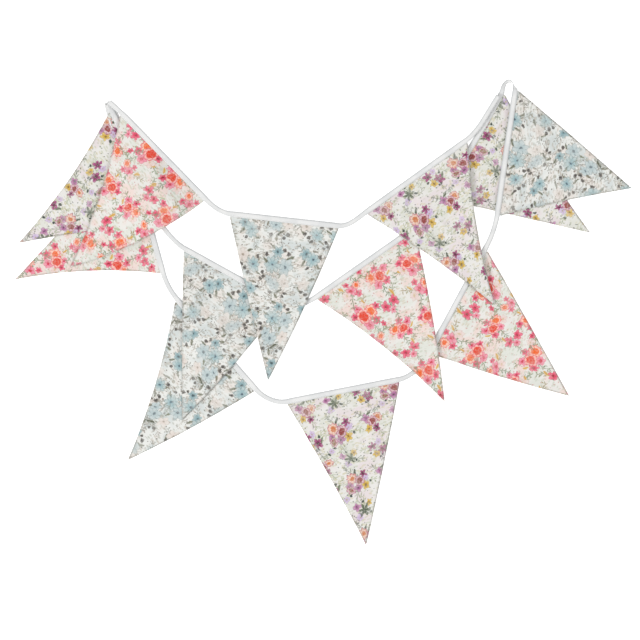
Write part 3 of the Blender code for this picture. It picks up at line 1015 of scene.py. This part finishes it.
def motif(name, inputs, draw):
    # A reusable motif of the print: draw lays it over the colour that comes in
    tree = bpy.data.node_groups.new(name, "ShaderNodeTree")
    tree.interface.new_socket("Colour", in_out="INPUT", socket_type="NodeSocketColor")
    for label in ("X", "Y", "Strength", *inputs):
        tree.interface.new_socket(label, in_out="INPUT", socket_type="NodeSocketFloat")
    if "Cosine" in inputs:
        tree.interface.new_socket("Ink", in_out="INPUT", socket_type="NodeSocketColor")
    tree.interface.new_socket("Colour", in_out="OUTPUT", socket_type="NodeSocketColor")
    start = tree.nodes.new("NodeGroupInput")
    end = tree.nodes.new("NodeGroupOutput")
    values = {socket.name: Shade(tree, socket) for socket in start.outputs if socket.name}
    link(draw(values), end.inputs[0])
    return tree


def flowerMotif(name, kind):
    petals, notch, tip, foot, line, eye, eyeSize = kind

    def draw(at):
        x = at["X"] - at["Across"]
        y = at["Y"] - at["Down"]
        lobe = (y.math("ARCTAN2", y, x) * (petals / 2) + at["Phase"]).cosine().absolute()
        reach = x.math("MULTIPLY_ADD", x, x, y * y).root() / at["Radius"] + at["Blur"]
        inside = lobe * notch + (1 - notch) - reach
        petal = reach.ramp(eyeSize + 0.05, 0.95).blended(foot, tip)
        petal = petal.mixed(paint(*line), inside.ramp(0.18, 0.02) * 0.75)
        petal = petal.mixed(paint(*line), lobe.ramp(0.40, 0.05) * reach.ramp(0.25, 0.5) * 0.7)
        petal = petal.mixed(paint(*eye), reach.ramp(eyeSize + 0.05, eyeSize - 0.07))
        return at["Colour"].mixed(petal, inside.ramp(-0.05, 0.06) * at["Strength"])

    return motif(name, ["Blur", "Across", "Down", "Radius", "Phase"], draw)


turned = ["Across", "Down", "Cosine", "Sine", "Length", "Width"]


def lengthwise(at):
    x = at["X"] - at["Across"]
    y = at["Y"] - at["Down"]
    return x * at["Cosine"] + y * at["Sine"], y * at["Cosine"] - x * at["Sine"]


def drawSprig(at):
    along, aside = lengthwise(at)
    leaf = at["Width"]
    share = along / at["Length"]
    off = (aside - share * share * (leaf * 0.9)).absolute()
    inside = share.ramp(0.02, 0.06) * share.ramp(1.0, 0.96)
    beat = along.math("PINGPONG", along - off * 0.7, leaf * 0.62)
    blade = beat / (leaf * 0.26) + ((off - leaf * 0.55) / (leaf * 0.52)).absolute()
    mask = off.ramp(1.1, 0.3).most(blade.ramp(1.25, 0.7)) * inside
    return at["Colour"].mixed(at["Ink"], mask * at["Strength"])


def drawLeaf(at):
    along, aside = lengthwise(at)
    u = along / at["Length"] * 2
    v = (aside / at["Width"] * 2).absolute()
    mask = (1 - u * u - v).ramp(-0.02, 0.22)
    shaded = at["Ink"].mixed(paint(250, 248, 236), v.ramp(0.1, 0.8) * 0.3)
    return at["Colour"].mixed(shaded, mask * at["Strength"])


sprigMotif = motif("sprig", turned, drawSprig)
leafMotif = motif("leaf", turned, drawLeaf)


def inRepeat(cloth, place, repeat):
    # The cloth's two coordinates round one place of a repeat whose columns drop by half
    wide, high = repeat
    x, y = cloth
    x = x - place[0]
    y = y - place[1]
    column = (x / wide).rounded()
    x = x - column * wide
    y = y - column * (high / 2)
    return x, y - (y / high).rounded() * high


def layTurned(tree, colour, spot, strength, row, close):
    *off, turn, length, width, ink = row
    x, y = off or (0, 0)
    angle = math.radians(turn)
    values = {
        "Colour": colour, "X": spot[0], "Y": spot[1], "Strength": strength,
        "Across": x * close, "Down": y * close,
        "Cosine": math.cos(angle), "Sine": math.sin(angle), "Length": length, "Width": width,
        "Ink": paint(*ink),
    }
    return colour.make("ShaderNodeGroup", {"node_tree": tree}, values)


# How the ink lies on the cotton, and the painted shade along its long edges, sizes in mm
inking = {
    "moved": [(9, 1.5, 5.0), (1.6, 1.0, 1.4), (78, 0.0, 13.0)],    # noise size, detail, shift
    "pool": 3.2,
    "wearAndShade": 38,
    "wash": 26,
    "leaflet": 4.6,         # spacing of the faint leaflets
    "speck": 8.5,
    "thread": 0.9,          # bare threads that show through
    "edge": 24,             # painted shade along the long edges: size of its patches
    "edgeShadeTint": (150, 146, 138),
}


def printedCotton(name, chart):
    material, shader = newMaterial(name)
    motifs = {kind: flowerMotif(f"{name} {kind}", row) for kind, row in chart["flowers"].items()}
    cloth = uvOf(material, "cloth")
    inkAt = cloth
    for size, detail, shift in inking["moved"]:
        away = cloth.vector("SUBTRACT", cloth.noise(size, detail, 1), (0.5, 0.5, 0.5))
        inkAt = cloth.vector("ADD", inkAt, away.scaled(shift))
    pool = cloth.noise(inking["pool"], 2.0) - 0.5
    wearAndShade = cloth.noise(inking["wearAndShade"], 1.0).ramp(0.36, 0.56, chart["wearAndShade"], 1.04)
    strength = (pool * 0.9 + 0.92) * wearAndShade
    faint = (pool * 1.4 + 1) * wearAndShade * chart["faint"]
    blur = pool * 0.3
    broad = cloth.noise(inking["wash"], 1.0)
    colour = (broad.ramp(0.50, 0.68) * 0.8).blended(chart["ground"], chart["wash"][0])
    colour = colour.mixed(paint(*chart["wash"][1]), broad.ramp(0.48, 0.32) * 0.75)
    for n, tint in enumerate(chart["leaflets"]):
        stretched = cloth.make("ShaderNodeMapping", None, {
            "Vector": cloth, "Location": (n * 31.0, 0, 0), "Rotation": (0, 0, 0.7 - 1.7 * n),
            "Scale": (0.46, 1, 1)})
        cells = cloth.make("ShaderNodeTexVoronoi", {"voronoi_dimensions": "2D"}, {
            "Vector": stretched, "Scale": 1 / inking["leaflet"]})
        thinned = cloth.noise(11 + 3 * n, 1.0).ramp(0.40, 0.56)
        colour = colour.mixed(paint(*tint), cells.ramp(0.34, 0.22) * thinned * 0.6)
    specks = cloth.make("ShaderNodeTexVoronoi", {"voronoi_dimensions": "2D"}, {
        "Vector": inkAt, "Scale": 1 / inking["speck"]})
    colour = colour.mixed(paint(*chart["speck"]), specks.ramp(0.125, 0.08) * 0.75)
    inkAt = inkAt.split()
    for place, sprigs, leaves, blooms in chart["groups"]:
        spot = inRepeat(inkAt, place, chart["repeat"])
        close = chart["closeness"]
        for row in sprigs:
            colour = layTurned(sprigMotif, colour, spot, faint, row, close)
        for row in leaves:
            colour = layTurned(leafMotif, colour, spot, strength, row, close)
        for kind, x, y, radius, turn in blooms:
            colour = colour.make("ShaderNodeGroup", {"node_tree": motifs[kind]}, {
                "Colour": colour, "X": spot[0], "Y": spot[1], "Strength": strength, "Blur": blur,
                "Across": x * close, "Down": y * close, "Radius": radius * chart["bloom"],
                "Phase": math.radians(turn)})
    bare = cloth.noise(inking["thread"], 0.0).ramp(0.55, 0.8) * 0.2
    colour = colour.mixed(paint(*chart["ground"]), bare)
    # painted shade along the flags' long edges, where the seamed edges curl away from the light, in
    # patches
    edge = uvOf(material, "rim").split()[0].ramp(3.4, 0.6)
    edge = edge * cloth.noise(inking["edge"], 1.0).ramp(0.35, 0.6, 0.12, 0.55)
    colour = colour.mixed(paint(*inking["edgeShadeTint"]), edge)
    link(colour, shader.inputs["Base Color"])
    link(weaveHeight(cloth, material), shader.inputs["Normal"])
    link(cloth.noise(2.5, 2.0).ramp(0.3, 0.7, 0.82, 0.95), shader.inputs["Roughness"])
    finish(shader)
    return material


def finish(shader):
    shader.inputs["Specular IOR Level"].default_value = 0.25
    shader.inputs["Sheen Weight"].default_value = 0.12
    shader.inputs["Sheen Roughness"].default_value = 0.5


weave = {"flag": (0.62, 0.62), "tape": (0.7, 0.55)}     # pitch of the threads in mm


def weaveHeight(cloth, material):
    # Plain weave, slubs, and the pressed seam with its puckers along the long edges
    x, y = (part * (math.tau / pitch) for part, pitch in zip(cloth.split(), weave["flag"]))
    threads = x.cosine() * y.cosine()
    slubs = cloth.noise(1.8, 2.0)
    distance, along = uvOf(material, "rim").split()
    ridge = distance.ramp(5.6, 4.6) * 0.6
    puckers = (along * 0.42 + slubs * 2.0).cosine() * distance.ramp(9.0, 2.0) * 0.25
    height = threads * 0.05 + slubs * 0.12 + ridge + puckers
    return height.bumped(0.35, 0.4 * mm)


def tapeCotton():
    material, shader = newMaterial("white tape cotton")
    cloth = uvOf(material, "cloth")
    x, y = (part * (math.tau / pitch) for part, pitch in zip(cloth.split(), weave["tape"]))
    ribs = y.cosine() * 0.4 + x.cosine() * 0.3
    slubs = cloth.noise(2.4, 2.0)
    # random tone of the tape, also used to wobble the edge of the painted shade
    dirtAndShadeNoise = cloth.noise(22, 2.0)
    colour = dirtAndShadeNoise.ramp(0.35, 0.7).blended((234, 234, 233), (224, 225, 225))
    # from the open edge at -0.5 to the fold at 0.5
    side = uvOf(material, "rim").split()[0] + dirtAndShadeNoise * 0.06 - 0.03
    # painted shade: greyer towards the fold, where the folded edge turns away from the light, and a
    # little at the open edge
    wearAndShade = side.ramp(0.16, 0.46) * 0.85 + side.ramp(-0.38, -0.5) * 0.35
    colour = colour.mixed(paint(191, 193, 194), wearAndShade)
    # painted shade along the stitch line, in the furrow where the thread draws the tape in
    furrow = (side + stitchCut["furrow"]).absolute().ramp(0.06, 0.01) * 0.5
    colour = colour.mixed(paint(214, 216, 216), furrow)
    link(colour, shader.inputs["Base Color"])
    link((ribs * 0.12 + slubs * 0.5).bumped(0.4, 0.3 * mm), shader.inputs["Normal"])
    link(slubs.ramp(0.3, 0.7, 0.8, 0.94), shader.inputs["Roughness"])
    finish(shader)
    return material


def threadCotton():
    material, shader = newMaterial("sewing thread")
    spot = objectPlace(material)
    twist = spot.make("ShaderNodeTexNoise", None, {"Vector": spot, "Scale": 900.0})
    link(twist.blended((242, 242, 240), (222, 222, 220)), shader.inputs["Base Color"])
    shader.inputs["Roughness"].default_value = 0.7
    return material


prints = {
    "plum": printedCotton("plum print cotton", plumPrint),
    "blue": printedCotton("blue print cotton", bluePrint),
    "pink": printedCotton("pink print cotton", pinkPrint),
}
print("materials mixed")

tapeFrame = tapeFrames(tapeSections())
for number, flag in enumerate(flags):
    makeFlag(flag, number, prints[flag.name.split("_")[-1]], tapeFrame[0][:, 2])
    print(f"{flag.name} cut and laid")

tape = makeTape(tapeFrame, tapeCotton())
stitches = makeStitches(tapeFrame, threadCotton())

studio = {
    "floor": (0.97, 0.97, 0.97, 1),
    "lit": 0.42,             # white paper on a light table
    "sky": 0.80,
    "eye": 7.2,              # camera height, m
    "shift": (-5.25 * mm, -12 * mm),
    "view": 0.960,           # width that the picture shows, m
    "lights": [              # name, place, size, power
        ("key light", (-5.2, -2.9, 3.4), 1.6, 300),
        ("fill light", (2.8, 1.0, 2.8), 2.4, 34),
    ],
}


def setStage():
    bpy.ops.mesh.primitive_plane_add(size=12, location=(0, 0, -0.0005))
    floor = bpy.context.object
    floor.name = "studio_floor"
    material, shader = newMaterial("studio paper")
    spot = objectPlace(material)
    shader.inputs["Base Color"].default_value = studio["floor"]
    shader.inputs["Emission Color"].default_value = (1, 1, 1, 1)
    shader.inputs["Emission Strength"].default_value = studio["lit"]
    grain = spot.make("ShaderNodeTexNoise", None, {"Vector": spot, "Scale": 3.0})
    link(grain.ramp(0.3, 0.7, 0.9, 0.95), shader.inputs["Roughness"])
    shader.inputs["Specular IOR Level"].default_value = 0.1
    floor.data.materials.append(material)

    world = bpy.data.worlds.new("studio")
    world.use_nodes = True
    sky = world.node_tree.nodes["Background"]
    sky.inputs["Color"].default_value = (1, 1, 1, 1)
    sky.inputs["Strength"].default_value = studio["sky"]
    bpy.context.scene.world = world
    bpy.context.scene.view_settings.view_transform = "Standard"
    for name, place, size, power in studio["lights"]:
        light = bpy.data.lights.new(name, "AREA")
        light.size = size
        light.energy = power
        lamp = bpy.data.objects.new(name, light)
        lamp.location = place
        lamp.rotation_euler = (-Vector(place)).to_track_quat("-Z", "Y").to_euler()
        bpy.context.scene.collection.objects.link(lamp)


def setCamera():
    camera = bpy.data.cameras.new("camera")
    camera.sensor_width = 36
    camera.lens = 36 * studio["eye"] / studio["view"]
    obj = bpy.data.objects.new("camera", camera)
    obj.location = (*studio["shift"], studio["eye"])
    bpy.context.scene.collection.objects.link(obj)
    bpy.context.scene.camera = obj


setStage()
setCamera()
bpy.context.view_layer.update()
print("scene ready")
